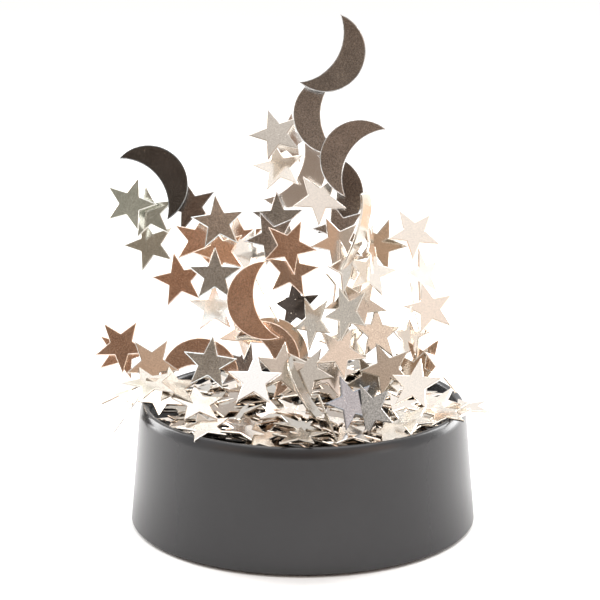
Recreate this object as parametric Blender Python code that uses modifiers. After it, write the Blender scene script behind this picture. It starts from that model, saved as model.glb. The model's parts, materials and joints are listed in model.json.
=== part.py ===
"""Magnetic desk sculpture: a round magnetic base and a tower of loose steel stars and moons.

Metres, +Z up. The origin is the centre of the base's underside, and the front faces -Y.
"""
import math
import random

import bmesh
import bpy
import mathutils
from mathutils.bvhtree import BVHTree

MM = 0.001

# Base, millimetres
BASE_HEIGHT = 30.0
BASE_RADIUS_FOOT = 42.5
BASE_RADIUS_TOP = 40.2
RIM_ROUND = 1.1
WALL = 2.4
DISH_RADIUS = BASE_RADIUS_TOP - WALL
DISH_DEPTH = 5.0
DISH_FLOOR_THICKNESS = 2.4
DISH_CORNER = 1.5
MAGNET_RADIUS = 30.0
MAGNET_BORE = 16.0
MAGNET_THICKNESS = 10.0
MAGNET_CHAMFER = 0.6
LOCATING_RIB_GAP = 0.4
LOCATING_RIB_WALL = 1.6
LOCATING_RIB_DEPTH = 6.0
COVER_RADIUS = 38.6
COVER_THICKNESS = 2.0
COVER_RING_RADIUS = 26.0
COVER_RING_WALL = 2.4
LEDGE_RADIUS = 37.2
PAD_RADIUS = 38.0
PAD_THICKNESS = 1.2
PAD_PROUD = 0.5
FOOT_CHAMFER = 0.4
TURN_STEPS = 72
FIT_GAP = 0.3

# Loose pieces, punched from one gauge of sheet steel, millimetres
SHEET = 0.6
STAR_TIP_RADIUS = 6.9
STAR_NOTCH_RADIUS = 2.85
STAR_POINTS = 5
MOON_OUTER_RADIUS = 9.4
MOON_INNER_RADIUS = 11.5
MOON_INNER_OFFSET = 8.6
MOON_TIP_ROUND = 0.25
MOON_ARC_STEPS = 20

# The heap in the dish, millimetres and degrees: stars lie nearly flat, each on some that lie there
HEAP_SEED = 14
HEAP_STARS = 72
HEAP_TRIES = 20000
HEAP_CLEARANCE = 0.35
HEAP_SPACING = 6.6
HEAP_LOW = 26.2
HEAP_TOP = 33.5
HEAP_TILT = 13.0
HEAP_WALL_TILT = 24.0

# Stars of the heap that stick out over the rim, in the form of the tower's rows below
OVER_THE_RIM = (
    ("right", 39.4, -12.0, 31.5, -60, 84, 20),
    ("left", -44.0, -5.0, 34.7, -15, 52, 20),
    ("left_hanging", -42.2, -7.0, 29.4, -100, 35, 0),
)

# Where each loose piece stands in the tower: name, x, y and z of its centre in millimetres, then
# degrees: turned about the vertical, leaned back from upright, and spun in its own plane.
# A star is centred on its middle, a moon on the centre of its outer arc, which bulges along the spin.
LEFT_BRANCH = (
    ("star_01", -41.1, -4.5, 79.8, -12, 10, 1),
    ("star_02", -36.7, -2.5, 77.2, -12, 12, 29),
    ("star_03", -36.9, 0, 68.9, -12, 14, 40),
    ("moon_01", -36.5, -6.5, 84.7, -4, 12, 39),
    ("star_04", -27, 1.5, 78, 3, 13, 32),
    ("star_05", -20, -7, 75.7, 5, 13, 24),
    ("star_06", -24.8, -3, 70.7, 4, 16, 4),
    ("star_07", -19.8, -5, 68.2, 6, 16, 36),
    ("star_08", -14.3, -1, 67.7, 15, 32, 57),
    ("star_09", -20.9, -9, 63.3, -4, 12, 90),
    ("star_10", -29.5, -7, 61.7, 2, 15, 29),
    ("star_11", -21.4, -1.2, 53.5, 6, 32, 90),
    ("moon_02", -8.6, -12.4, 58, 4, 15, 189),
    ("star_12", -14, -5.2, 48.2, 12, 34, 46),
    ("star_13", -14.3, -4, 39.4, 0, 20, 75),
)
LOW_LEFT_CLUSTER = (
    ("star_14", -22.2, -14, 42.9, -3, 12, 83),
    ("moon_03", -24.7, -10, 38.6, 2, 15, 90),
    ("star_15", -43.6, -8, 45.9, 3, 15, 56),
    ("star_16", -43.6, -5.5, 43.5, 3, 17, 71),
    ("star_17", -36, -11, 42.2, 10, 20, 54),
)
TOP_BRANCH = (
    ("moon_04", 5.3, -6, 116, 3, 9.5, -32),
    ("moon_05", 7.1, -3.4, 100.9, -2, 10, 180),
    ("moon_06", 13.4, -8, 91, 2, 11, 148),
    ("moon_07", 5.1, -2.4, 81.7, 0, 12, 0),
    ("moon_08", -3.7, 4, 86.7, -4, 10, -30),
    ("star_18", 3.9, -7.5, 81.5, 2, 27, 52),
    ("star_19", -6.4, -0.8, 95.9, -8, 26, 40),
    ("star_20", -5.8, 1.6, 87.5, -8, 34, 32),
    ("star_21", -3.6, 7, 93.4, 0, 12, 10),
)
MIDDLE_CLUSTER = (
    ("star_22", -6, -2.6, 75.7, -8, 12, 22),
    ("star_23", -7.4, -5, 71.6, 0, 12, 43),
    ("star_24", -3.2, -11.4, 70.8, 3, 14, 64),
    ("star_25", -2.7, -7.5, 64, 2, 13, 8),
    ("star_26", -1.7, 1, 53.5, 25, 12, 90),
    ("moon_09", -7.9, -7.5, 43.1, 10, 16, 50),
    ("moon_10", -10.1, -10.5, 42.9, -4, 14, 30),
    ("star_27", -5, -14.5, 41.8, 8, 26, 80),
    ("star_28", -11.3, -21, 40.7, -6, 32, 90),
    ("star_29", 2.4, -11, 52.4, -50, 15, 60),
)
RIGHT_CLUSTER = (
    ("star_30", 8.3, -8.8, 71.2, 8, 15, 42),
    ("star_31", 8.8, -5.9, 74, 0, 12, 36),
    ("moon_11", 11.5, -24, 77.1, 67, -15, 0),
    ("star_32", 18.5, -4, 69.7, 10, 18, 67),
    ("star_33", 16, -10, 64.4, 10, 36, 2),
    ("star_34", 13.7, -7.5, 56, 12, 24, -17),
    ("star_35", 10.4, -17, 56.1, -42, 18, 54),
    ("star_36", 20, -15, 41.9, 8, 24, 38),
    ("star_37", 6.5, -10, 39.8, 10, 26, 70),
    ("moon_12", 1.5, -16, 37, 80, 31, 180),
)
RIGHT_BRANCH = (
    ("star_38", 26.5, -5, 72.7, 12, 30, 45),
    ("star_39", 30.3, -8, 55, 12, 28, 28),
    ("star_40", 26, -3, 45.9, 45, 25, 70),
    ("star_41", 26.8, -10, 39.5, 6, 16, 60),
    ("star_42", 26.3, -21.5, 39.8, -30, 35, 94),
    ("star_43", 34.4, -12, 41.2, 12, 44, 62),
)
TOWER = (
    LEFT_BRANCH + LOW_LEFT_CLUSTER + TOP_BRANCH + MIDDLE_CLUSTER + RIGHT_CLUSTER + RIGHT_BRANCH
)


def clear_scene():
    for old in list(bpy.data.objects):
        bpy.data.objects.remove(old, do_unlink=True)


def new_collection(name):
    made = bpy.data.collections.new(name)
    bpy.context.scene.collection.children.link(made)
    return made


def new_material(name, colour, roughness, metallic=0.0):
    made = bpy.data.materials.new(name)
    made.use_nodes = True
    shader = made.node_tree.nodes["Principled BSDF"]
    shader.inputs["Base Color"].default_value = (*colour, 1.0)
    shader.inputs["Roughness"].default_value = roughness
    shader.inputs["Metallic"].default_value = metallic
    return made


def arc(centre, radius, start, end, steps):
    """Points along an arc, ends included; angles in degrees."""
    points = []
    for i in range(steps + 1):
        angle = math.radians(start + (end - start) * i / steps)
        points.append((centre[0] + radius * math.cos(angle), centre[1] + radius * math.sin(angle)))
    return points


def turned(name, profile, closed, material, collection):
    """A (radius, height) profile in millimetres turned about Z, outer side first, from top to bottom.

    A ring's profile is closed; a disc's is open, and starts and ends on the axis.
    """
    points = [(r * MM, 0.0, z * MM) for r, z in profile]
    edges = [(i, i + 1) for i in range(len(points) - 1)]
    if closed:
        edges.append((len(points) - 1, 0))
    mesh = bpy.data.meshes.new(name)
    mesh.from_pydata(points, edges, [])
    mesh.materials.append(material)
    made = bpy.data.objects.new(name, mesh)
    collection.objects.link(made)
    screw = made.modifiers.new("turn", "SCREW")
    screw.axis = "Z"
    screw.steps = TURN_STEPS
    screw.render_steps = TURN_STEPS
    screw.use_merge_vertices = True
    screw.merge_threshold = 0.00001
    screw.use_smooth_shade = True
    return made


def base_shell(material, collection):
    """One moulding: tapered wall, rounded rim, shallow dish, and a locating rib for the magnet."""
    floor_top = BASE_HEIGHT - DISH_DEPTH
    floor_under = floor_top - DISH_FLOOR_THICKNESS
    rib_outer = MAGNET_RADIUS + LOCATING_RIB_GAP + LOCATING_RIB_WALL
    rib_inner = MAGNET_RADIUS + LOCATING_RIB_GAP
    rib_low = floor_under - LOCATING_RIB_DEPTH
    rim_outer = arc((BASE_RADIUS_TOP - RIM_ROUND, BASE_HEIGHT - RIM_ROUND), RIM_ROUND, 90, 5, 5)
    rim_inner = arc((DISH_RADIUS + RIM_ROUND, BASE_HEIGHT - RIM_ROUND), RIM_ROUND, 180, 90, 5)
    corner = arc((DISH_RADIUS - DISH_CORNER, floor_top + DISH_CORNER), DISH_CORNER, 270, 360, 4)
    cover_top = PAD_THICKNESS + FIT_GAP + COVER_THICKNESS + FIT_GAP
    outline = [
        (0.0, floor_top),
        *corner,
        *rim_inner[:-1],
        *rim_outer,
        (BASE_RADIUS_FOOT, PAD_PROUD + FOOT_CHAMFER),
        (BASE_RADIUS_FOOT - FOOT_CHAMFER, PAD_PROUD),
        (COVER_RADIUS + FIT_GAP, PAD_PROUD),
        (COVER_RADIUS + FIT_GAP, cover_top),
        (LEDGE_RADIUS, cover_top),
        (LEDGE_RADIUS, floor_under),
        (rib_outer, floor_under),
        (rib_outer, rib_low),
        (rib_inner, rib_low),
        (rib_inner, floor_under),
        (0.0, floor_under),
    ]
    return turned("base_shell", outline, False, material, collection)


def ring_magnet(material, collection):
    top = BASE_HEIGHT - DISH_DEPTH - DISH_FLOOR_THICKNESS - FIT_GAP
    low = top - MAGNET_THICKNESS
    profile = [
        (MAGNET_RADIUS - MAGNET_CHAMFER, top),
        (MAGNET_RADIUS, top - MAGNET_CHAMFER),
        (MAGNET_RADIUS, low + MAGNET_CHAMFER),
        (MAGNET_RADIUS - MAGNET_CHAMFER, low),
        (MAGNET_BORE, low),
        (MAGNET_BORE, top),
    ]
    return turned("ring_magnet", profile, True, material, collection)


def bottom_cover(material, collection):
    """The closing plate, with a raised ring that holds the magnet up against the dish."""
    low = PAD_THICKNESS + FIT_GAP
    plate_top = low + COVER_THICKNESS
    magnet_low = BASE_HEIGHT - DISH_DEPTH - DISH_FLOOR_THICKNESS - FIT_GAP - MAGNET_THICKNESS
    ring_top = magnet_low - FIT_GAP
    profile = [
        (0.0, plate_top),
        (COVER_RING_RADIUS - COVER_RING_WALL, plate_top),
        (COVER_RING_RADIUS - COVER_RING_WALL, ring_top),
        (COVER_RING_RADIUS, ring_top),
        (COVER_RING_RADIUS, plate_top),
        (COVER_RADIUS, plate_top),
        (COVER_RADIUS, low),
        (0.0, low),
    ]
    return turned("bottom_cover", profile, False, material, collection)


def foot_pad(material, collection):
    """The soft disc that the base stands on; it stands proud of the shell's foot."""
    profile = [(0.0, PAD_THICKNESS), (PAD_RADIUS, PAD_THICKNESS), (PAD_RADIUS, 0.0), (0.0, 0.0)]
    return turned("foot_pad", profile, False, material, collection)


def star_outline():
    points = []
    for i in range(2 * STAR_POINTS):
        radius = STAR_TIP_RADIUS if i % 2 == 0 else STAR_NOTCH_RADIUS
        angle = math.pi * i / STAR_POINTS
        points.append((radius * math.cos(angle), radius * math.sin(angle)))
    return points


def moon_outline():
    """A crescent: an outer arc that bulges along +X and a wider inner arc, with blunted horns."""
    horn_x = (
        MOON_INNER_RADIUS**2 - MOON_OUTER_RADIUS**2 - MOON_INNER_OFFSET**2
    ) / (2 * MOON_INNER_OFFSET)
    horn_y = math.sqrt(MOON_OUTER_RADIUS**2 - horn_x**2)
    outer_end = math.degrees(math.atan2(horn_y, horn_x) - MOON_TIP_ROUND / MOON_OUTER_RADIUS)
    inner_end = math.degrees(
        math.atan2(horn_y, horn_x + MOON_INNER_OFFSET) - MOON_TIP_ROUND / MOON_INNER_RADIUS
    )
    outer = arc((0, 0), MOON_OUTER_RADIUS, -outer_end, outer_end, MOON_ARC_STEPS)
    inner = arc((-MOON_INNER_OFFSET, 0), MOON_INNER_RADIUS, inner_end, -inner_end, MOON_ARC_STEPS)
    return outer + inner


def plate(outline, grown=0.0):
    """Corners and faces of a flat outline as a plate of the sheet's thickness, in millimetres."""
    count = len(outline)
    half = SHEET / 2 + grown
    corners = [(x, y, -half) for x, y in outline] + [(x, y, half) for x, y in outline]
    faces = [tuple(reversed(range(count))), tuple(range(count, 2 * count))]
    for i in range(count):
        j = (i + 1) % count
        faces.append((i, j, count + j, count + i))
    return corners, faces


def punched(name, outline, material, collection):
    """A piece punched from the sheet, centred on its own plane."""
    corners, faces = plate(outline)
    mesh = bpy.data.meshes.new(name)
    mesh.from_pydata([(x * MM, y * MM, z * MM) for x, y, z in corners], [], faces)
    mesh.materials.append(material)
    made = bpy.data.objects.new(name, mesh)
    collection.objects.link(made)
    return made


def stood(x, y, z, turn, lean, spin):
    """Upright and facing the front, leaned back, turned about the vertical, spun in its own plane."""
    facing = mathutils.Matrix.Rotation(math.radians(turn), 4, "Z")
    tilt = mathutils.Matrix.Rotation(math.radians(90 - lean), 4, "X")
    in_plane = mathutils.Matrix.Rotation(math.radians(spin), 4, "Z")
    return mathutils.Matrix.Translation((x, y, z)) @ facing @ tilt @ in_plane


def put(piece, place):
    """Moves a piece's own points to a place given in millimetres."""
    centre = place.translation * MM
    piece.data.transform(mathutils.Matrix.Translation(centre) @ place.to_3x3().to_4x4())


def solid_tree(shapes):
    """One search tree over several placed plates; a shape is its corners, faces and place."""
    corners = []
    faces = []
    for own_corners, own_faces, place in shapes:
        first = len(corners)
        corners.extend(place @ mathutils.Vector(corner) for corner in own_corners)
        faces.extend([first + i for i in face] for face in own_faces)
    return BVHTree.FromPolygons(corners, faces)


def star_outline_grown(by):
    """The star's outline with its tips and notches moved out."""
    scale = 1.0 + by / STAR_NOTCH_RADIUS
    return [(x * scale, y * scale) for x, y in star_outline()]


def in_dish(corners):
    """True if every point is clear of the dish's floor, its rounded corner, its wall and its rim."""
    floor_top = BASE_HEIGHT - DISH_DEPTH
    for point in corners:
        if point.z < floor_top + HEAP_CLEARANCE:
            return False
        corner_rise = max(0.0, floor_top + DISH_CORNER - point.z)
        reach = DISH_RADIUS - HEAP_CLEARANCE - corner_rise
        if point.z < BASE_HEIGHT + HEAP_CLEARANCE and math.hypot(point.x, point.y) > reach:
            return False
    return True


def lying(draw):
    """A star's place in the heap: anywhere in the dish, low, steeper and higher near the wall."""
    bearing = draw.uniform(0.0, 2 * math.pi)
    distance = (DISH_RADIUS - 3.0) * math.sqrt(draw.random())
    near_wall = distance / DISH_RADIUS
    height = draw.uniform(HEAP_LOW, HEAP_TOP)
    tilt = draw.uniform(0.0, HEAP_TILT + (HEAP_WALL_TILT - HEAP_TILT) * near_wall**2)
    centre = (distance * math.cos(bearing), distance * math.sin(bearing), height)
    return stood(*centre, draw.uniform(0.0, 360.0), 90.0 - tilt, draw.uniform(0.0, 72.0))


def heap_places(tower):
    """Places of stars that each touch the heap so far and stay clear of the dish and the tower."""
    draw = random.Random(HEAP_SEED)
    outline = star_outline()
    corners, faces = plate(outline)
    wide_corners, wide_faces = plate(star_outline_grown(HEAP_CLEARANCE), HEAP_CLEARANCE)
    standing = solid_tree(tower)
    over_rim = [stood(*row[1:]) for row in OVER_THE_RIM]
    trees = [solid_tree([(corners, faces, place)]) for place in over_rim]
    places = list(over_rim)
    for _ in range(HEAP_TRIES):
        if len(places) == HEAP_STARS + len(over_rim):
            break
        place = lying(draw)
        gaps = [(place.translation - other.translation).length for other in places]
        if min(gaps) < HEAP_SPACING:
            continue
        if not in_dish([place @ mathutils.Vector(corner) for corner in corners]):
            continue
        if standing.overlap(solid_tree([(wide_corners, wide_faces, place)])):
            continue
        tree = solid_tree([(corners, faces, place)])
        grown_yet = len(places) > len(over_rim)
        if grown_yet and not any(tree.overlap(other) for other in trees):
            continue
        places.append(place)
        trees.append(tree)
    return joined_places(places, trees, len(over_rim))


def joined_places(places, trees, first):
    """Only the stars that are linked, touch by touch, to the first star laid in the dish."""
    linked = {first}
    waiting = [first]
    while waiting:
        tree = trees[waiting.pop()]
        for i, other in enumerate(trees):
            if i not in linked and tree.overlap(other):
                linked.add(i)
                waiting.append(i)
    return [places[i] for i in sorted(linked)]


def bake(made):
    """Turns an object's modifiers into its mesh."""
    bpy.context.view_layer.update()
    shaped = made.evaluated_get(bpy.context.evaluated_depsgraph_get())
    made.data = bpy.data.meshes.new_from_object(shaped)
    made.modifiers.clear()


def keep_outer_skin(mesh):
    """Leaves only the largest closed skin, which fills the small spaces that are shut in between plates."""
    shape = bmesh.new()
    shape.from_mesh(mesh)
    left = set(shape.verts)
    skins = []
    while left:
        seed = min(left, key=lambda vert: vert.index)
        skin = {seed}
        waiting = [seed]
        while waiting:
            for edge in waiting.pop().link_edges:
                for vert in edge.verts:
                    if vert not in skin:
                        skin.add(vert)
                        waiting.append(vert)
        skins.append(skin)
        left -= skin
    largest = max(skins, key=len)
    bmesh.ops.delete(shape, geom=[vert for vert in shape.verts if vert not in largest])
    shape.to_mesh(mesh)
    shape.free()


def star_heap(tower, material, parts, cutters):
    """The heap as one body: its stars are fused where they touch."""
    places = heap_places(tower)
    heap = punched("star_heap", star_outline(), material, parts)
    put(heap, places[0])
    for i, place in enumerate(places[1:]):
        cutter = punched("heap_star_%02d" % (i + 1), star_outline(), material, cutters)
        put(cutter, place)
        cutter.hide_render = True
        cutter.display_type = "WIRE"
    fuse = heap.modifiers.new("fuse", "BOOLEAN")
    fuse.operation = "UNION"
    fuse.solver = "EXACT"
    fuse.operand_type = "COLLECTION"
    fuse.collection = cutters
    bake(heap)
    keep_outer_skin(heap.data)
    return heap


def main():
    clear_scene()
    parts = new_collection("magnetic_desk_sculpture")
    cutters = new_collection("magnetic_desk_sculpture_cutters")
    base_shell(new_material("black_abs", (0.022, 0.022, 0.024), 0.32), parts)
    ring_magnet(new_material("ferrite", (0.05, 0.05, 0.055), 0.75), parts)
    bottom_cover(new_material("cover_abs", (0.02, 0.02, 0.02), 0.5), parts)
    foot_pad(new_material("eva_pad", (0.03, 0.03, 0.03), 0.95), parts)
    tower = []
    for name, *row in TOWER:
        outline = star_outline() if name.startswith("star") else moon_outline()
        nickel = new_material(name + "_nickel", (0.72, 0.66, 0.58), 0.22, 1.0)
        place = stood(*row)
        put(punched(name, outline, nickel, parts), place)
        tower.append((*plate(outline), place))
    heap_nickel = new_material("star_heap_nickel", (0.72, 0.66, 0.58), 0.22, 1.0)
    star_heap(tower, heap_nickel, parts, cutters)


main()
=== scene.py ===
"""Magnetic desk sculpture: looks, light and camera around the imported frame. Metres, +Z up."""
import math
import random

import bmesh
import bpy
import mathutils
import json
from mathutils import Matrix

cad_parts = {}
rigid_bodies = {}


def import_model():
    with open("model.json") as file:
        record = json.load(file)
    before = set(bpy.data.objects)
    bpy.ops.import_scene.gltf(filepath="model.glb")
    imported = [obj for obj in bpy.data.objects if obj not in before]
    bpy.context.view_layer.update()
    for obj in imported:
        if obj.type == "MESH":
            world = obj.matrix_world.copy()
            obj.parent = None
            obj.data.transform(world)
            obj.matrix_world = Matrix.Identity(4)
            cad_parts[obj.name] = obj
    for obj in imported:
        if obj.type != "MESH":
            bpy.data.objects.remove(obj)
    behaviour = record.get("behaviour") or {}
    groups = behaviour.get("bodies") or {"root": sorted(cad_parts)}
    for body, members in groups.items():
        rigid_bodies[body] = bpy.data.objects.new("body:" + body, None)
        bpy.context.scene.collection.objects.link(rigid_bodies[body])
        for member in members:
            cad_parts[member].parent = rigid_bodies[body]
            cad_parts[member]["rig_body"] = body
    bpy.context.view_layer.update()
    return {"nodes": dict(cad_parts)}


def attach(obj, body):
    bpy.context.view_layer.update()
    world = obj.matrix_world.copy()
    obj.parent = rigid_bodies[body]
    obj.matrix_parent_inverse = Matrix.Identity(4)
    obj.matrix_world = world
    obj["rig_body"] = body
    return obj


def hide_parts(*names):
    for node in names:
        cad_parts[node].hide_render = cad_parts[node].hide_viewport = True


MM = 0.001

CAMERA_AIM = (0.0, 0.0, 0.0552)
CAMERA_ELEVATION = 13.3
CAMERA_DISTANCE = 0.467
CAMERA_LENS = 115.2
SENSOR_WIDTH = 36.0
CAMERA_SHIFT_X = -0.0047

# Punched pieces, millimetres
SHEET = 0.6
STAR_TIP_RADIUS = 6.9
STAR_NOTCH_RADIUS = 2.85
STAR_POINTS = 5
TIP_ROUND = 0.10
NOTCH_ROUND = 0.15
CORNER_STEPS = 4
MOON_OUTER_RADIUS = 9.4
MOON_INNER_RADIUS = 11.5
MOON_INNER_OFFSET = 8.6
HORN_BLUNT = 0.22
MOON_ARC_STEPS = 48
EDGE_ROUND = 0.25
EDGE_STEPS = 3

# Base, millimetres
BASE_HEIGHT = 30.0
RADIUS_FOOT = 42.5
RIM_ROUND = 0.9
SHOULDER = 5.5
SHOULDER_START = 30
DISH_RADIUS = 37.8
DISH_FLOOR = 25.0
DISH_CORNER = 1.5
FOOT_RISE = 0.5
FOOT_CHAMFER = 0.4
RECESS_RADIUS = 38.9
LEDGE_RADIUS = 37.2
LEDGE_HEIGHT = 3.8
CEILING = 22.6
RIB_OUTER = 32.0
RIB_INNER = 30.4
RIB_FOOT = 16.6
TURN_STEPS = 256

# The heap in the dish, millimetres and degrees
HEAP_SEED = 3
HEAP_FILL = 150
HEAP_REACH = 36.0
HEAP_LOW = 26.0
HEAP_TOP = 31.0
HEAP_TILT_LOW = 9.0
HEAP_TILT_TOP = 38.0
# Painted reflection tones that the heap's stars take in turn
HEAP_REFLECTION_TONES = ("bright", "tan", "bright", "umber", "beige", "bright", "tan", "umber")

STUDIO_WHITE = (1.06, 1.05, 1.04)
# Cream of the painted glints spotted over the plated faces
GLINT_COLOUR = (0.95, 0.90, 0.82)

# Painted reflection tones of the plating: a base colour that paints in what each piece reflects, how
# strongly it is speckled, and the rim with its painted light that goes with it. Pieces not named in any
# list below are bright
REFLECTION_TONES = {
    "black": ((0.05, 0.042, 0.038), 0.30, "pale"),
    "coal": ((0.185, 0.195, 0.200), 0.34, "pale"),
    "dark_grey": ((0.33, 0.32, 0.31), 0.34, "pale"),
    "slate": ((0.44, 0.44, 0.44), 0.32, "pale"),
    "light_grey": ((0.62, 0.61, 0.60), 0.30, "pale"),
    "brown": ((0.82, 0.66, 0.55), 0.20, "pale"),
    "olive": ((0.74, 0.74, 0.69), 0.14, "pale"),
    "plain": ((0.82, 0.77, 0.70), 0.22, "pale"),
    "steel": ((0.30, 0.33, 0.38), 0.20, "pale"),
    "umber": ((0.34, 0.27, 0.21), 0.20, "pale"),
    "tan": ((0.47, 0.43, 0.375), 0.14, "pale"),
    "ashen": ((0.76, 0.80, 0.80), 0.26, "pale"),
    "straw": ((0.78, 0.75, 0.72), 0.06, "tan"),
    "beige": ((0.62, 0.575, 0.52), 0.10, "tan"),
    "bright": ((0.89, 0.82, 0.745), 0.05, "tan"),
    "white": ((0.99, 0.97, 0.95), 0.03, "tan"),
}
# Which pieces take which painted reflection tone: the dark, grey and brown tones paint in the dark room
# behind the camera, the cream and white ones the white studio
BLACK = ("star_26",)
COAL = ("moon_01",)
DARK_GREY = ("moon_07", "star_04", "star_13")
SLATE = ("moon_04",)
LIGHT_GREY = ("moon_05", "moon_06", "star_22", "star_23", "star_31")
BROWN = (
    "star_06", "star_07", "star_10", "star_15", "star_16", "star_24", "star_25",
    "moon_02", "moon_03", "moon_10",
)
OLIVE = ("star_01", "star_02", "star_03")
ASHEN = ("star_05", "star_09", "star_14")
STRAW = ("star_30", "star_37")
TAN = ("star_29", "star_32", "star_35", "star_36", "star_41", "moon_11", "moon_12")
BEIGE = ("star_17", "star_19", "star_27", "star_34", "moon_09")
WHITE = ("star_11", "star_12", "star_21", "star_28", "star_40", "moon_08")

# Stars in the tower, in the dish and over the rim that have no node of their own in the CAD: name,
# painted reflection tone, x, y and z of the centre in millimetres, and degrees turned about the vertical,
# leaned back and spun in its own plane. Another program worked out x and z from readings of the photo.
EXTRA_STARS = (
    ("left_mid", "bright", -7.9, -6.0, 57.6, 62, 20, 54),
    ("left_low_white", "beige", -36.1, -18.0, 39.3, 15, 70, 30),
    ("left_low_arm", "tan", -30.7, -17.0, 38.3, 34, 60, 0),
    ("left_tip", "brown", -15.6, 4.0, 69.3, 0, 14, 26),
    ("rim_left", "bright", -44.0, -5.0, 34.6, -15, 52, 20),
    ("rim_left_hang", "bright", -42.2, -7.0, 29.2, -100, 35, 0),
    ("rim_right", "bright", 39.4, -12.0, 31.4, -60, 84, 20),
    ("right_narrow", "beige", 10.4, -11.0, 65.8, 48, 14, 26),
    ("right_under_narrow", "beige", 9.2, -3.0, 60.6, 56, 8, 10),
    ("right_behind", "tan", 11.2, -3.0, 55.9, 20, 16, 50),
    ("right_f", "beige", 1.0, -14.5, 40.8, -14, 28, 66),
    ("right_g", "beige", 10.3, -9.0, 47.2, -16, 28, 40),
    ("right_h", "tan", 17.8, -9.0, 49.0, 30, 24, 80),
    ("right_j", "tan", 16.7, -9.0, 37.5, -8, 13, 50),
    ("right_k", "beige", 8.8, -14.0, 45.8, 20, 26, 54),
    ("right_steel", "steel", 11.2, -24.0, 36.2, 28, 26, 30),
    ("right_l", "dark_grey", 15.9, -25.0, 34.8, -34, 14, 54),
    ("right_col_a", "bright", 29.1, -4.0, 62.3, 52, 12, 22),
    ("right_col_b", "bright", 27.7, -5.0, 55.1, 66, 10, 40),
    ("right_col_c", "bright", 27.0, -3.0, 48.2, -60, 12, 10),
    ("right_brown", "brown", 29.3, -6.0, 41.2, -14, 16, 60),
    ("right_strip_a", "bright", 16.0, -12.0, 71.1, 80, 6, 36),
    ("strip_low", "tan", 6.1, -24.0, 31.8, 95, 22, 0),
    ("wall_right_a", "bright", 32.3, -10.0, 31.6, -50, 60, 20),
    ("wall_right_b", "plain", 34.0, -14.0, 31.0, -30, 72, 50),
    ("white_flat_a", "bright", 11.0, -27.0, 30.0, 10, 78, 15),
    ("mid_heap_a", "beige", 20.8, -26.0, 29.7, -10, 72, 40),
    ("mid_heap_b", "plain", 25.2, -22.0, 31.4, -30, 74, 10),
    ("mid_heap_c", "beige", -24.7, -20.0, 34.8, 20, 62, 10),
    ("mid_heap_d", "bright", -22.8, -26.0, 30.9, -5, 76, 40),
    ("mid_heap_e", "tan", -10.4, -30.0, 29.5, 5, 76, 20),
)


def node_tree(material):
    material.use_nodes = True
    tree = material.node_tree
    return tree, tree.nodes["Principled BSDF"]


def add_node(tree, kind, **inputs):
    node = tree.nodes.new(kind)
    for name, value in inputs.items():
        node.inputs[name.replace("_", " ")].default_value = value
    return node


def maths(tree, operation, *values):
    """A Math node whose inputs are sockets or numbers; returns its result."""
    node = tree.nodes.new("ShaderNodeMath")
    node.operation = operation
    for socket, value in zip(node.inputs, values):
        if isinstance(value, (int, float)):
            socket.default_value = value
        else:
            tree.links.new(value, socket)
    return node.outputs[0]


def ramp(tree, fac, *stops):
    """A colour ramp with (position, colour) stops; returns its colour."""
    node = tree.nodes.new("ShaderNodeValToRGB")
    elements = node.color_ramp.elements
    while len(elements) < len(stops):
        elements.new(0.5)
    for element, (position, colour) in zip(elements, stops):
        element.position = position
        element.color = (*colour, 1.0)
    tree.links.new(fac, node.inputs["Fac"])
    return node.outputs["Color"]


def shade(colour, by):
    return tuple(min(1.0, c * by) for c in colour)


def nickel(name, colour, contrast, roughness, shift):
    """Nickel plate over punched steel in a painted reflection tone: fine sandy grain, painted glints, faint
    cloudy blotches, a slight warp.
    """
    material = bpy.data.materials.new(name)
    tree, shader = node_tree(material)
    link = tree.links.new
    shader.inputs["Metallic"].default_value = 1.0
    place = tree.nodes.new("ShaderNodeTexCoord")
    moved = add_node(tree, "ShaderNodeMapping", Location=(shift, shift * 0.7, -shift))
    link(place.outputs["Object"], moved.inputs["Vector"])
    grain = add_node(tree, "ShaderNodeTexNoise", Scale=3300.0, Detail=2.0, Roughness=0.7)
    cloud = add_node(tree, "ShaderNodeTexNoise", Scale=210.0, Detail=3.0, Roughness=0.6)
    glints = add_node(tree, "ShaderNodeTexNoise", Scale=2600.0, Detail=1.0, Roughness=0.5)
    warp = add_node(tree, "ShaderNodeTexNoise", Scale=60.0, Detail=0.0)
    for texture in (grain, cloud, glints, warp):
        link(moved.outputs["Vector"], texture.inputs["Vector"])
    speckle = maths(tree, "MULTIPLY", grain.outputs["Fac"], 0.85)
    speckle = maths(tree, "ADD", speckle, maths(tree, "MULTIPLY", cloud.outputs["Fac"], 0.15))
    # The base colour is the piece's painted reflection tone, grained at random
    tone = ramp(
        tree,
        speckle,
        (0.38, shade(colour, 1.0 - contrast)),
        (0.5, colour),
        (0.62, shade(colour, 1.0 + contrast)),
    )
    # Small cream spots at random: painted glints of the sandy grain
    spots = ramp(tree, glints.outputs["Fac"], (0.71, (0.0, 0.0, 0.0)), (0.80, (0.8, 0.8, 0.8)))
    mix = tree.nodes.new("ShaderNodeMix")
    mix.data_type = "RGBA"
    link(spots, mix.inputs["Factor"])
    link(tone, mix.inputs["A"])
    mix.inputs["B"].default_value = (*GLINT_COLOUR, 1.0)
    link(mix.outputs["Result"], shader.inputs["Base Color"])
    rough = add_node(tree, "ShaderNodeMapRange")
    rough.inputs["To Min"].default_value = roughness * 0.6
    rough.inputs["To Max"].default_value = roughness * 1.4
    link(cloud.outputs["Fac"], rough.inputs["Value"])
    link(rough.outputs["Result"], shader.inputs["Roughness"])
    bend = add_node(tree, "ShaderNodeBump", Strength=1.0, Distance=0.00007)
    link(warp.outputs["Fac"], bend.inputs["Height"])
    bump = add_node(tree, "ShaderNodeBump", Strength=0.4, Distance=0.00001)
    link(grain.outputs["Fac"], bump.inputs["Height"])
    link(bend.outputs["Normal"], bump.inputs["Normal"])
    link(bump.outputs["Normal"], shader.inputs["Normal"])
    return material


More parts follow.
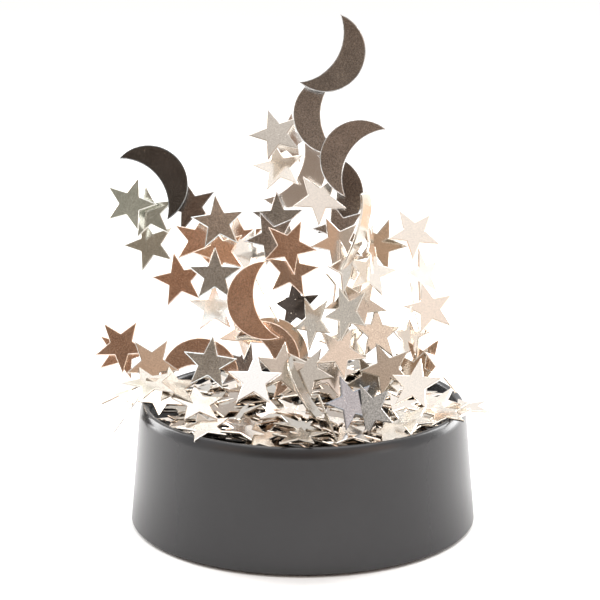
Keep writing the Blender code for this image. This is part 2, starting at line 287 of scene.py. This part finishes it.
def painted_rim_light(name, dark, light):
    """The rolled rims, coloured apart from the faces with painted light: a painted dark outline round
    bright faces, a painted pale highlight round dark ones.
    """
    material = bpy.data.materials.new(name)
    tree, shader = node_tree(material)
    link = tree.links.new
    shader.inputs["Metallic"].default_value = 1.0
    place = tree.nodes.new("ShaderNodeTexCoord")
    rim_mottle = add_node(tree, "ShaderNodeTexNoise", Scale=700.0, Detail=3.0, Roughness=0.6)
    link(place.outputs["Object"], rim_mottle.inputs["Vector"])
    tone = ramp(tree, rim_mottle.outputs["Fac"], (0.3, dark), (0.6, light))
    link(tone, shader.inputs["Base Color"])
    rough = add_node(tree, "ShaderNodeMapRange")
    rough.inputs["To Min"].default_value = 0.18
    rough.inputs["To Max"].default_value = 0.38
    link(rim_mottle.outputs["Fac"], rough.inputs["Value"])
    link(rough.outputs["Result"], shader.inputs["Roughness"])
    return material


def moulded_plastic(name, colour, roughness, grain_depth):
    """Moulded plastic with a fine satin grain, and faint rub marks in its gloss."""
    material = bpy.data.materials.new(name)
    tree, shader = node_tree(material)
    link = tree.links.new
    place = tree.nodes.new("ShaderNodeTexCoord")
    grain = add_node(tree, "ShaderNodeTexNoise", Scale=2600.0, Detail=2.0)
    rub = add_node(tree, "ShaderNodeTexNoise", Scale=70.0, Detail=6.0, Roughness=0.65)
    for texture in (grain, rub):
        link(place.outputs["Object"], texture.inputs["Vector"])
    tone = ramp(tree, rub.outputs["Fac"], (0.3, shade(colour, 0.93)), (0.7, shade(colour, 1.08)))
    link(tone, shader.inputs["Base Color"])
    rough = add_node(tree, "ShaderNodeMapRange")
    rough.inputs["To Min"].default_value = roughness * 0.94
    rough.inputs["To Max"].default_value = roughness * 1.08
    link(rub.outputs["Fac"], rough.inputs["Value"])
    link(rough.outputs["Result"], shader.inputs["Roughness"])
    bump = add_node(tree, "ShaderNodeBump", Strength=0.2, Distance=grain_depth)
    link(grain.outputs["Fac"], bump.inputs["Height"])
    link(bump.outputs["Normal"], shader.inputs["Normal"])
    return material


def new_object(name, mesh, materials, body):
    made = bpy.data.objects.new(name, mesh)
    bpy.context.scene.collection.objects.link(made)
    mesh.materials.clear()
    for material in materials:
        mesh.materials.append(material)
    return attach(made, body)


def give(node, material):
    node.data.materials.clear()
    node.data.materials.append(material)


def star_outline(inset):
    """The star's outline drawn in by an inset, anticlockwise, with its tips and notches rounded."""
    step = math.pi / STAR_POINTS
    tip_half = math.atan2(
        STAR_NOTCH_RADIUS * math.sin(step), STAR_TIP_RADIUS - STAR_NOTCH_RADIUS * math.cos(step)
    )
    notch_half = step + tip_half
    tip_round = max(TIP_ROUND - inset, 0.02)
    tip_centre = STAR_TIP_RADIUS - (inset + tip_round) / math.sin(tip_half)
    notch_centre = STAR_NOTCH_RADIUS + NOTCH_ROUND / math.sin(notch_half)
    tip_sweep = 90 - math.degrees(tip_half)
    notch_sweep = 90 - math.degrees(notch_half)
    points = []
    for i in range(STAR_POINTS):
        for axis, reach, radius, start, end in (
            (2 * i, tip_centre, tip_round, -tip_sweep, tip_sweep),
            (2 * i + 1, notch_centre, NOTCH_ROUND + inset, 180 + notch_sweep, 180 - notch_sweep),
        ):
            turn = axis * step
            centre = (reach * math.cos(turn), reach * math.sin(turn))
            angle = math.degrees(turn)
            points += arc(centre, radius, start + angle, end + angle, CORNER_STEPS)
    return points


def crescent_outline(inset):
    """The moon's outline drawn in by an inset, its outer arc first and then its inner arc back."""
    outer = MOON_OUTER_RADIUS - inset
    inner = MOON_INNER_RADIUS + inset
    shift = MOON_INNER_OFFSET
    horn_x = (inner * inner - outer * outer - shift * shift) / (2 * shift)
    horn_y = math.sqrt(outer * outer - horn_x * horn_x)
    outer_end = math.degrees(math.atan2(horn_y, horn_x) - HORN_BLUNT / outer)
    inner_end = math.degrees(math.atan2(horn_y, horn_x + shift) - HORN_BLUNT / inner)
    return [
        *arc((0.0, 0.0), outer, -outer_end, outer_end, MOON_ARC_STEPS),
        *arc((-shift, 0.0), inner, inner_end, -inner_end, MOON_ARC_STEPS),
    ]


def fanned(shape, ring):
    """A star's face: triangles round its centre."""
    height = ring[0].co.z
    centre = shape.verts.new((0, 0, height))
    for i, corner in enumerate(ring):
        shape.faces.new((centre, corner, ring[(i + 1) % len(ring)]))


def laddered(shape, ring):
    """A moon's face: strips between its two arcs."""
    last = len(ring) - 1
    for i in range(MOON_ARC_STEPS):
        shape.faces.new((ring[i], ring[i + 1], ring[last - 1 - i], ring[last - i]))


def plate_mesh(name, outline, face, place):
    """A punched plate with rolled rims; the faces take the first material and the rims the second."""
    rolled = [
        (EDGE_ROUND * (1 - math.sin(a)), SHEET / 2 - EDGE_ROUND * (1 - math.cos(a)))
        for a in (math.pi / 2 * i / EDGE_STEPS for i in range(EDGE_STEPS + 1))
    ]
    levels = [(inset, -height) for inset, height in rolled] + list(reversed(rolled))
    shape = bmesh.new()
    rings = [
        [shape.verts.new((x * MM, y * MM, height * MM)) for x, y in outline(inset)]
        for inset, height in levels
    ]
    count = len(rings[0])
    for lower, upper in zip(rings, rings[1:]):
        for i in range(count):
            j = (i + 1) % count
            shape.faces.new((lower[i], lower[j], upper[j], upper[i])).material_index = 1
    face(shape, rings[0])
    face(shape, rings[-1])
    bmesh.ops.recalc_face_normals(shape, faces=shape.faces)
    mesh = bpy.data.meshes.new(name)
    shape.to_mesh(mesh)
    shape.free()
    mesh.transform(place)
    return mesh


def flattened(mesh):
    """The direction across a CAD plate's sheet, and its points brought onto its middle plane."""
    across = max(mesh.polygons, key=lambda face: face.area).normal.normalized()
    points = [vert.co.copy() for vert in mesh.vertices]
    middle = sum(point.dot(across) for point in points) / len(points)
    points = [point - across * (point.dot(across) - middle) for point in points]
    return across, points, sum(points, mathutils.Vector()) / len(points)


def laid(centre, forward, across):
    turn = mathutils.Matrix((forward, across.cross(forward), across)).transposed()
    return mathutils.Matrix.Translation(centre) @ turn.to_4x4()


def star_place(mesh):
    """Where a CAD star lies: X runs to one of its tips and Z across the sheet."""
    across, points, mean = flattened(mesh)
    tips = []
    for point in sorted(points, key=lambda point: -(point - mean).length):
        if len(tips) < STAR_POINTS and all((point - tip).length > 1.0 * MM for tip in tips):
            tips.append(point)
    centre = sum(tips, mathutils.Vector()) / STAR_POINTS
    return laid(centre, (tips[0] - centre).normalized(), across)


def moon_place(mesh):
    """Where a CAD moon lies: its centre is the outer arc's, X runs to the bulge and Z across the sheet."""
    across, points, mean = flattened(mesh)
    first = max(points, key=lambda point: (point - mean).length)
    rest = [point for point in points if (point - first).length > MOON_OUTER_RADIUS * MM]
    second = max(rest, key=lambda point: (point - mean).length)
    chord = (second - first).normalized()
    offsets = [(p - first) - chord * (p - first).dot(chord) for p in points]
    bulge = max(offsets, key=lambda offset: offset.length)
    forward = bulge.normalized()
    return laid((first + second) / 2 + bulge - forward * MOON_OUTER_RADIUS * MM, forward, across)


def finer_piece(node, materials, body):
    """A loose piece with the corners and edges of a real punching, in the CAD piece's place."""
    name = node.name + "_plate"
    if name.startswith("moon"):
        mesh = plate_mesh(name, crescent_outline, laddered, moon_place(node.data))
    else:
        mesh = plate_mesh(name, star_outline, fanned, star_place(node.data))
    made = new_object(name, mesh, materials, body)
    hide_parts(node.name)
    return made


def star_mesh(name, place):
    return plate_mesh(name, star_outline, fanned, place)


def stood(x, y, z, turn, lean, spin):
    """Upright and facing the front, leaned back, turned about the vertical, spun in its own plane."""
    facing = mathutils.Matrix.Rotation(math.radians(turn), 4, "Z")
    tilt = mathutils.Matrix.Rotation(math.radians(90 - lean), 4, "X")
    in_plane = mathutils.Matrix.Rotation(math.radians(spin), 4, "Z")
    return mathutils.Matrix.Translation((x * MM, y * MM, z * MM)) @ facing @ tilt @ in_plane


def extra_star(name, row, materials):
    made = new_object(name, star_mesh(name, stood(*row)), materials, "base")
    return made


def clear_of_dish(mesh):
    """True if a piece's points are off the dish's floor, its rounded corner, its wall and its rim."""
    for vert in mesh.vertices:
        height = vert.co.z / MM
        across = math.hypot(vert.co.x, vert.co.y) / MM
        rise = max(0.0, DISH_FLOOR + DISH_CORNER - height)
        if height < DISH_FLOOR or (height < BASE_HEIGHT + 0.05 and across > DISH_RADIUS - rise):
            return False
    return True


def fill_heap(reflection_tones):
    """The stars that lie in the dish, low and flat at the bottom and steeper on top."""
    draw = random.Random(HEAP_SEED)
    count = 0
    while count < HEAP_FILL:
        bearing = draw.uniform(0, 2 * math.pi)
        distance = HEAP_REACH * math.sqrt(draw.random())
        layer = count / HEAP_FILL
        tilt = draw.uniform(1, HEAP_TILT_LOW + (HEAP_TILT_TOP - HEAP_TILT_LOW) * layer * draw.random())
        level = HEAP_LOW + (HEAP_TOP - HEAP_LOW) * layer + draw.uniform(-0.6, 0.6)
        row = (distance * math.cos(bearing), distance * math.sin(bearing), level)
        place = stood(*row, draw.uniform(0, 360), 90 - tilt, draw.uniform(0, 72))
        mesh = star_mesh("heap_star_%03d" % (count + 1), place)
        if not clear_of_dish(mesh):
            bpy.data.meshes.remove(mesh)
            continue
        # Each heap star takes a painted reflection tone in turn
        reflection_tone = HEAP_REFLECTION_TONES[count % len(HEAP_REFLECTION_TONES)]
        made = new_object(mesh.name, mesh, reflection_tones[reflection_tone], "base")
        count += 1


def turned(name, profile, material, body):
    """A (radius, height) profile in millimetres turned about Z, with smooth walls."""
    shape = bmesh.new()
    rings = []
    for radius, height in profile:
        if radius < 1e-6:
            rings.append([shape.verts.new((0, 0, height * MM))])
            continue
        ring = []
        for i in range(TURN_STEPS):
            angle = 2 * math.pi * i / TURN_STEPS
            ring.append(
                shape.verts.new((radius * math.cos(angle) * MM, radius * math.sin(angle) * MM, height * MM))
            )
        rings.append(ring)
    for upper, lower in zip(rings, rings[1:]):
        for i in range(TURN_STEPS):
            j = (i + 1) % TURN_STEPS
            corners = []
            for ring, index in ((upper, i), (lower, i), (lower, j), (upper, j)):
                corner = ring[index % len(ring)]
                if corner not in corners:
                    corners.append(corner)
            shape.faces.new(corners)
    bmesh.ops.recalc_face_normals(shape, faces=shape.faces)
    mesh = bpy.data.meshes.new(name)
    shape.to_mesh(mesh)
    shape.free()
    mesh.polygons.foreach_set("use_smooth", [True] * len(mesh.polygons))
    mesh.set_sharp_from_angle(angle=math.radians(35))
    return new_object(name, mesh, [material], body)


def arc(centre, radius, start, end, steps):
    points = []
    for i in range(steps + 1):
        angle = math.radians(start + (end - start) * i / steps)
        points.append((centre[0] + radius * math.cos(angle), centre[1] + radius * math.sin(angle)))
    return points


def base_shell(material):
    """The moulding's outside and underside: rolled rim, dish, tapered wall and pad recess."""
    rim = DISH_RADIUS + RIM_ROUND
    outline = [
        (0.0, DISH_FLOOR),
        (DISH_RADIUS * 0.5, DISH_FLOOR),
        *arc((DISH_RADIUS - DISH_CORNER, DISH_FLOOR + DISH_CORNER), DISH_CORNER, 270, 360, 8),
        *arc((rim, BASE_HEIGHT - RIM_ROUND), RIM_ROUND, 180, SHOULDER_START, 14),
        *arc(
            (
                rim - (SHOULDER - RIM_ROUND) * math.cos(math.radians(SHOULDER_START)),
                BASE_HEIGHT - RIM_ROUND - (SHOULDER - RIM_ROUND) * math.sin(math.radians(SHOULDER_START)),
            ),
            SHOULDER, SHOULDER_START - 3, 4, 10,
        ),
        (RADIUS_FOOT, FOOT_RISE + FOOT_CHAMFER),
        (RADIUS_FOOT - FOOT_CHAMFER, FOOT_RISE),
        (RECESS_RADIUS, FOOT_RISE),
        (RECESS_RADIUS, LEDGE_HEIGHT),
        (LEDGE_RADIUS, LEDGE_HEIGHT),
        (LEDGE_RADIUS, CEILING),
        (RIB_OUTER, CEILING),
        (RIB_OUTER, RIB_FOOT),
        (RIB_INNER, RIB_FOOT),
        (RIB_INNER, CEILING),
        (0.0, CEILING),
    ]
    made = turned("base_shell_moulding", outline, material, "base")
    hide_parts("base_shell")
    return made


def camera():
    data = bpy.data.cameras.new("camera")
    data.lens = CAMERA_LENS
    data.sensor_width = SENSOR_WIDTH
    data.shift_x = CAMERA_SHIFT_X
    data.clip_start = 0.01
    data.clip_end = 100.0
    made = bpy.data.objects.new("camera", data)
    bpy.context.scene.collection.objects.link(made)
    tilt = math.radians(CAMERA_ELEVATION)
    aim = mathutils.Vector(CAMERA_AIM)
    made.location = aim + CAMERA_DISTANCE * mathutils.Vector((0.0, -math.cos(tilt), math.sin(tilt)))
    made.rotation_euler = (aim - made.location).to_track_quat("-Z", "Y").to_euler()
    bpy.context.scene.camera = made


def floor():
    mesh = bpy.data.meshes.new("floor")
    reach = 12.0
    mesh.from_pydata(
        [(-reach, -reach, 0), (reach, -reach, 0), (reach, reach, 0), (-reach, reach, 0)], [], [(0, 1, 2, 3)]
    )
    made = bpy.data.objects.new("floor", mesh)
    bpy.context.scene.collection.objects.link(made)
    material = bpy.data.materials.new("floor")
    tree, shader = node_tree(material)
    shader.inputs["Base Color"].default_value = (0.97, 0.97, 0.97, 1.0)
    shader.inputs["Roughness"].default_value = 1.0
    shader.inputs["Specular IOR Level"].default_value = 0.0
    mesh.materials.append(material)


def mixed(tree, factor, first, second):
    """A colour mix; first and second are sockets or colours."""
    node = tree.nodes.new("ShaderNodeMix")
    node.data_type = "RGBA"
    tree.links.new(factor, node.inputs["Factor"])
    for key, value in (("A", first), ("B", second)):
        if isinstance(value, tuple):
            node.inputs[key].default_value = (*value, 1.0)
        else:
            tree.links.new(value, node.inputs[key])
    return node.outputs["Result"]


def surroundings():
    """A white studio; the side behind the camera is an unlit brown and grey room, low down."""
    world = bpy.data.worlds.new("studio")
    bpy.context.scene.world = world
    world.use_nodes = True
    tree = world.node_tree
    link = tree.links.new
    back = tree.nodes["Background"]
    where = tree.nodes.new("ShaderNodeTexCoord")
    split = tree.nodes.new("ShaderNodeSeparateXYZ")
    link(where.outputs["Generated"], split.inputs[0])
    height = split.outputs["Z"]
    front = maths(tree, "MULTIPLY", split.outputs["Y"], -1.0)
    across = maths(tree, "MULTIPLY_ADD", split.outputs["X"], 0.5, 0.5)
    room = ramp(
        tree,
        across,
        (0.17, (0.95, 0.93, 0.90)),
        (0.23, (0.30, 0.30, 0.26)),
        (0.33, (0.29, 0.28, 0.24)),
        (0.39, (0.26, 0.21, 0.17)),
        (0.56, (0.26, 0.205, 0.165)),
        (0.61, (0.50, 0.42, 0.33)),
        (0.71, (0.64, 0.56, 0.46)),
        (0.79, (0.95, 0.90, 0.84)),
        (0.86, (1.5, 1.48, 1.44)),
        (0.95, (2.2, 2.2, 2.2)),
    )
    band = ramp(
        tree,
        height,
        (0.0, (1.8, 1.8, 1.8)),
        (0.13, (1.25, 1.2, 1.15)),
        (0.19, (1.0, 0.95, 0.92)),
        (0.24, (0.8, 0.76, 0.75)),
        (0.29, (1.2, 0.88, 0.72)),
        (0.37, (1.45, 1.1, 0.9)),
    )
    tinted = tree.nodes.new("ShaderNodeVectorMath")
    tinted.operation = "MULTIPLY"
    link(room, tinted.inputs[0])
    link(band, tinted.inputs[1])
    rise = ramp(
        tree,
        height,
        (0.37, (0.0, 0.0, 0.0)),
        (0.47, (0.30, 0.30, 0.30)),
        (0.60, (0.62, 0.62, 0.62)),
        (0.76, (1.0, 1.0, 1.0)),
    )
    lit = mixed(tree, rise, tinted.outputs[0], STUDIO_WHITE)
    side = add_node(tree, "ShaderNodeMapRange")
    side.interpolation_type = "SMOOTHSTEP"
    side.inputs["From Min"].default_value = 0.25
    side.inputs["From Max"].default_value = 0.5
    link(front, side.inputs["Value"])
    link(mixed(tree, side.outputs["Result"], STUDIO_WHITE, lit), back.inputs["Color"])
    back.inputs["Strength"].default_value = 1.0


def softbox(name, place, aim, size, watts):
    light = bpy.data.lights.new(name, "AREA")
    light.shape = "RECTANGLE"
    light.size, light.size_y = size
    light.energy = watts
    made = bpy.data.objects.new(name, light)
    bpy.context.scene.collection.objects.link(made)
    made.location = place
    made.rotation_euler = (
        mathutils.Vector(aim) - mathutils.Vector(place)
    ).to_track_quat("-Z", "Y").to_euler()


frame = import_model()
bpy.context.scene.view_settings.view_transform = "Standard"
camera()
floor()
surroundings()
softbox("softbox_top", (0.0, 0.1, 0.9), (0, 0, 0.05), (0.9, 0.9), 4.0)
softbox("strip_left", (-0.62, 0.42, 0.22), (0, 0, 0.03), (0.35, 0.8), 7.5)
softbox("strip_right", (0.62, 0.42, 0.22), (0, 0, 0.03), (0.35, 0.8), 7.5)

# Rim colours are painted light: the pale rim a painted cream highlight, the tan rim a painted near-black
# outline
rims = {
    "pale": painted_rim_light("nickel_rim_pale", (0.84, 0.72, 0.58), (1.0, 0.92, 0.80)),
    "tan": painted_rim_light("nickel_rim_tan", (0.06, 0.045, 0.03), (0.17, 0.13, 0.09)),
}
# Each painted reflection tone as a face material, with a rim material of painted light
reflection_tones = {
    name: [nickel("nickel_" + name, colour, contrast, 0.15, 0.13 * i), rims[rim]]
    for i, (name, (colour, contrast, rim)) in enumerate(REFLECTION_TONES.items())
}
chosen = {}
for reflection_tone, names in (
    ("black", BLACK), ("coal", COAL), ("dark_grey", DARK_GREY), ("slate", SLATE), ("light_grey", LIGHT_GREY),
    ("brown", BROWN), ("olive", OLIVE), ("ashen", ASHEN), ("tan", TAN), ("straw", STRAW),
    ("beige", BEIGE), ("white", WHITE),
):
    chosen.update({name: reflection_tone for name in names})
for name, node in sorted(frame["nodes"].items()):
    if name.startswith(("star_", "moon_")) and name != "star_heap":
        finer_piece(node, reflection_tones[chosen.get(name, "bright")], node["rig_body"])
for name, reflection_tone, *row in EXTRA_STARS:
    extra_star(name, row, reflection_tones[reflection_tone])
base_shell(moulded_plastic("black_plastic", (0.020, 0.020, 0.022), 0.26, 0.00002))
give(frame["nodes"]["bottom_cover"], moulded_plastic("cover_plastic", (0.02, 0.02, 0.02), 0.5, 0.00002))
give(frame["nodes"]["ring_magnet"], moulded_plastic("ferrite", (0.05, 0.05, 0.055), 0.7, 0.00003))
give(frame["nodes"]["foot_pad"], moulded_plastic("foot_foam", (0.03, 0.03, 0.03), 0.9, 0.00005))

fill_heap(reflection_tones)
if "star_heap" in frame["nodes"]:
    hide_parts("star_heap")
